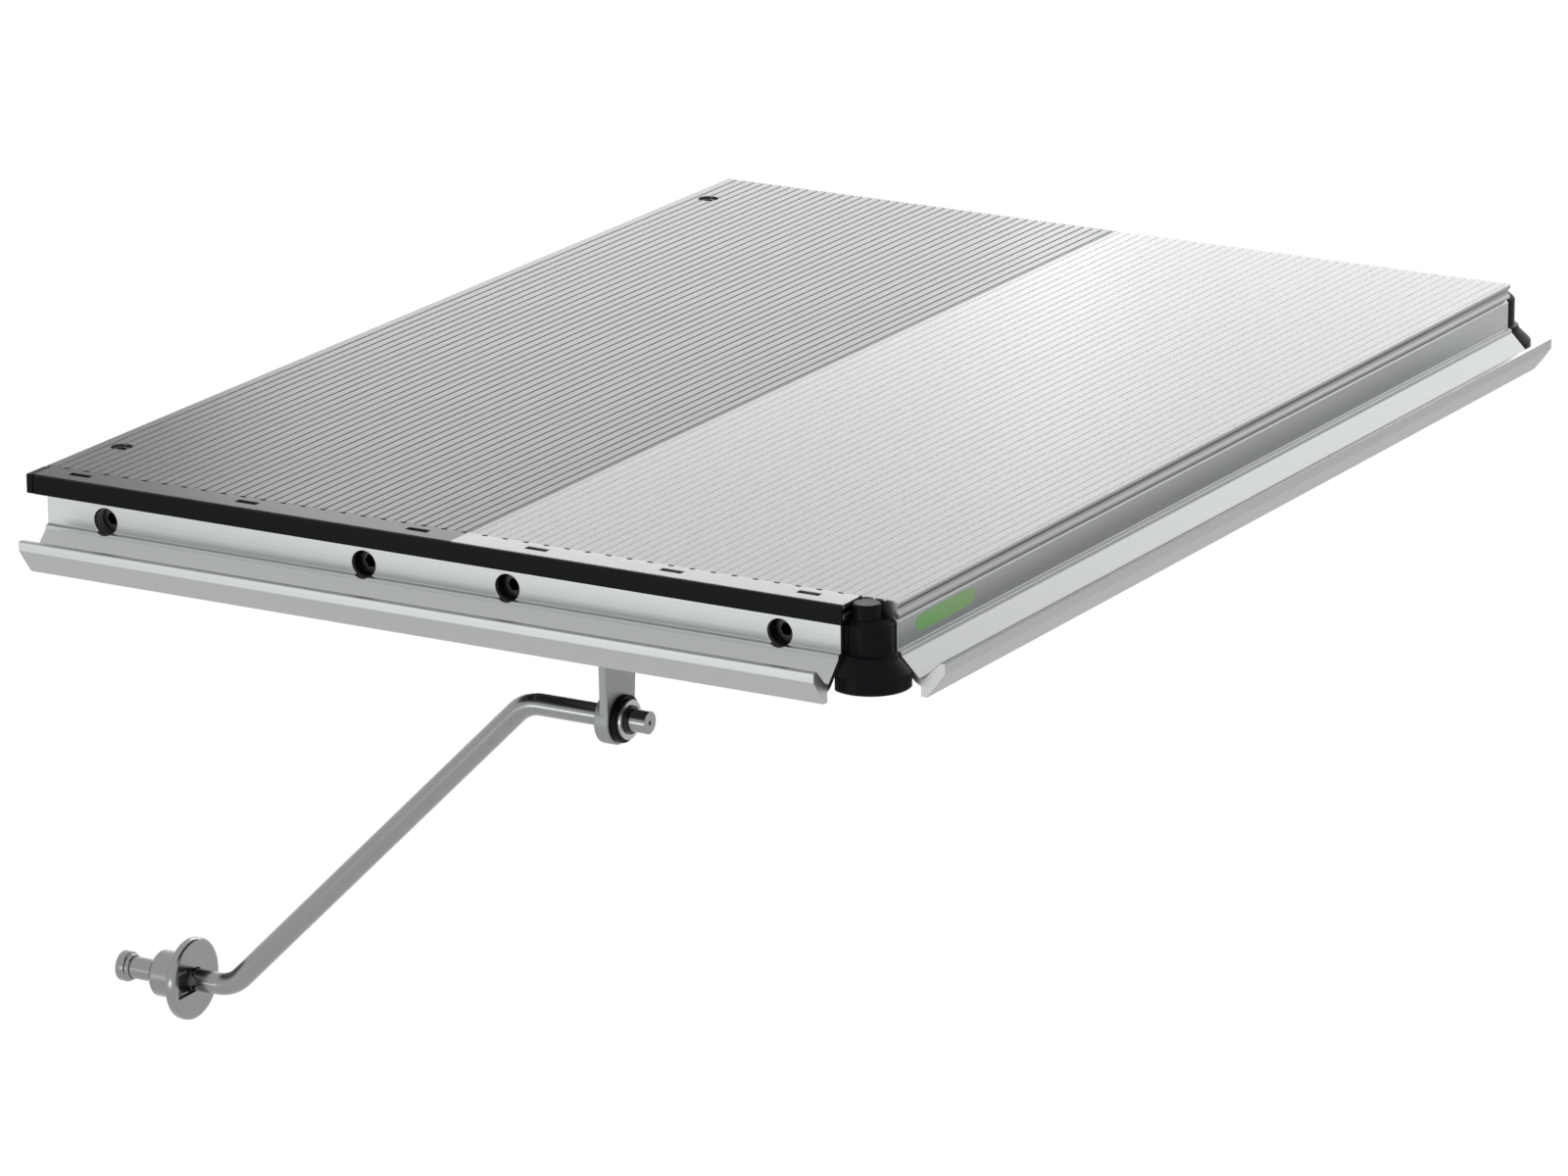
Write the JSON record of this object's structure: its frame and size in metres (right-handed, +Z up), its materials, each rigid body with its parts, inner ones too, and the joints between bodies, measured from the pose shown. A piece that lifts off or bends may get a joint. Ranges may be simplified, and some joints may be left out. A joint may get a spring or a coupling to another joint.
{
  "type": "side extension table for a benchtop saw",
  "caption": "Ribbed aluminium side table for a benchtop saw, with V-grooved clamping rails on three sides and a swinging support strut that plugs into the machine's side.",
  "frame": {"origin": "middle of the left top edge, where the table meets the saw's own table", "axes": "+X away from the saw, +Y along the joining edge to the rear, +Z up"},
  "size_m": [0.5721, 0.7782, 0.3393],
  "materials": {
    "panel_metal": "fine ribbed extrusion, matt silver",
    "rail_metal": "satin extrusion with faint die lines",
    "bar_metal": "brighter satin extrusion",
    "black_plastic": "moulded black plastic with a soft sheen",
    "black_rubber": "smooth black rubber",
    "dark_steel": "blackened steel",
    "black_steel": "black oxide steel",
    "zinc_steel": "bright zinc plate",
    "cast_metal": "light grey cast metal",
    "rod_steel": "drawn steel rod, dull plated"
  },
  "bodies": {
    "table": {"panel_left": "panel_metal", "panel_right": "panel_metal", "front_rail": "rail_metal", "rear_rail": "rail_metal", "side_rail": "rail_metal", "front_top_bar": "bar_metal", "edge_strip": "black_plastic", "bar_end_cap": "black_plastic", "corner_front": "black_plastic", "corner_rear": "black_plastic", "front_rail_screws": "dark_steel", "rear_rail_screws": "dark_steel", "side_rail_bolts": "zinc_steel", "side_nut_bar": "zinc_steel", "top_bar_screws": "zinc_steel", "edge_screws": "black_steel", "groove_feet": "cast_metal", "strut_bracket": "cast_metal", "bracket_screws": "zinc_steel", "bracket_nuts": "zinc_steel", "pivot_bush": "black_plastic"},
    "strut": {"strut_rod": "rod_steel", "stud_flange": "rod_steel", "end_knob": "rod_steel", "pivot_washer": "zinc_steel", "rubber_ring": "black_rubber", "retaining_ring": "dark_steel"}
  },
  "joints": [
    {"name": "strut_swing", "type": "hinge", "parent": "table", "child": "strut", "pos_m": [0.2646, -0.225, -0.1283], "axis": [1, 0, 0], "range_deg": [-90, 100]}
  ]
}
